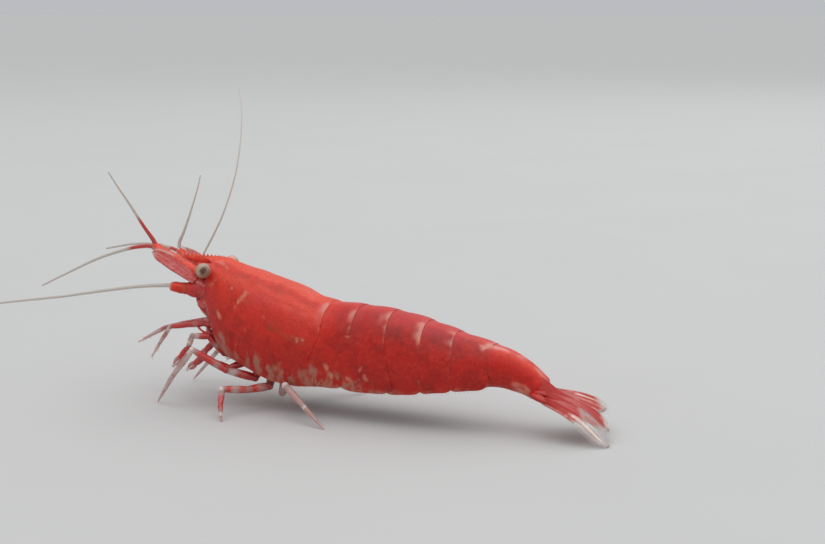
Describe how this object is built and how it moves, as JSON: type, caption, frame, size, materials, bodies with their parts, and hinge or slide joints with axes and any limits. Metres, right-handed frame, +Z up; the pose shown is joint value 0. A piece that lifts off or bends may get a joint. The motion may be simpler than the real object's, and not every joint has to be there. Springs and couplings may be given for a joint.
{
  "type": "shrimp",
  "caption": "Still life-size red cherry shrimp standing on its walking legs and tail fan, with a toothed rostrum, stalked eyes and long curved feelers.",
  "frame": {"origin": "middle of the bounding box, on the floor the shrimp stands on", "axes": "+Z up, head and feelers towards -X, tail towards +X, the animal's left side towards -Y"},
  "size_m": [0.0424, 0.0192, 0.0165],
  "materials": {
    "shell": "semi-gloss translucent red shell, mottled, with pale plate edges",
    "body": "moist semi-gloss flesh seen between the shell plates",
    "limb": "semi-gloss, banded in red and clear grey",
    "feeler": "semi-gloss, ringed, red at the base and whitish beyond",
    "eye": "glossy grey-beige with a dark middle"
  },
  "bodies": {
    "root": {"carapace": "shell", "rostrum": "shell", "abdomen_1": "shell", "abdomen_2": "shell", "abdomen_3": "shell", "abdomen_4": "shell", "abdomen_5": "shell", "abdomen_6": "shell", "telson": "shell", "tail_inner_left": "shell", "tail_inner_right": "shell", "tail_outer_left": "shell", "tail_outer_right": "shell", "head": "body", "thorax": "body", "mouth_foot_left": "limb", "mouth_foot_right": "limb", "leg_1_left": "limb", "leg_1_right": "limb", "leg_2_left": "limb", "leg_2_right": "limb", "leg_3_left": "limb", "leg_3_right": "limb", "leg_4_left": "limb", "leg_4_right": "limb", "leg_5_left": "limb", "leg_5_right": "limb", "swimmeret_1_left": "limb", "swimmeret_1_right": "limb", "swimmeret_2_left": "limb", "swimmeret_2_right": "limb", "swimmeret_3_left": "limb", "swimmeret_3_right": "limb", "swimmeret_4_left": "limb", "swimmeret_4_right": "limb", "swimmeret_5_left": "limb", "swimmeret_5_right": "limb", "antennule_base_left": "limb", "antennule_base_right": "limb", "antenna_base_left": "limb", "antenna_base_right": "limb", "antenna_scale_left": "limb", "antenna_scale_right": "limb", "eyestalk_left": "limb", "eyestalk_right": "limb", "antennule_inner_left": "feeler", "antennule_inner_right": "feeler", "antennule_outer_left": "feeler", "antennule_outer_right": "feeler", "antenna_lash_left": "feeler", "antenna_lash_right": "feeler", "eye_left": "eye", "eye_right": "eye"}
  },
  "joints": []
}
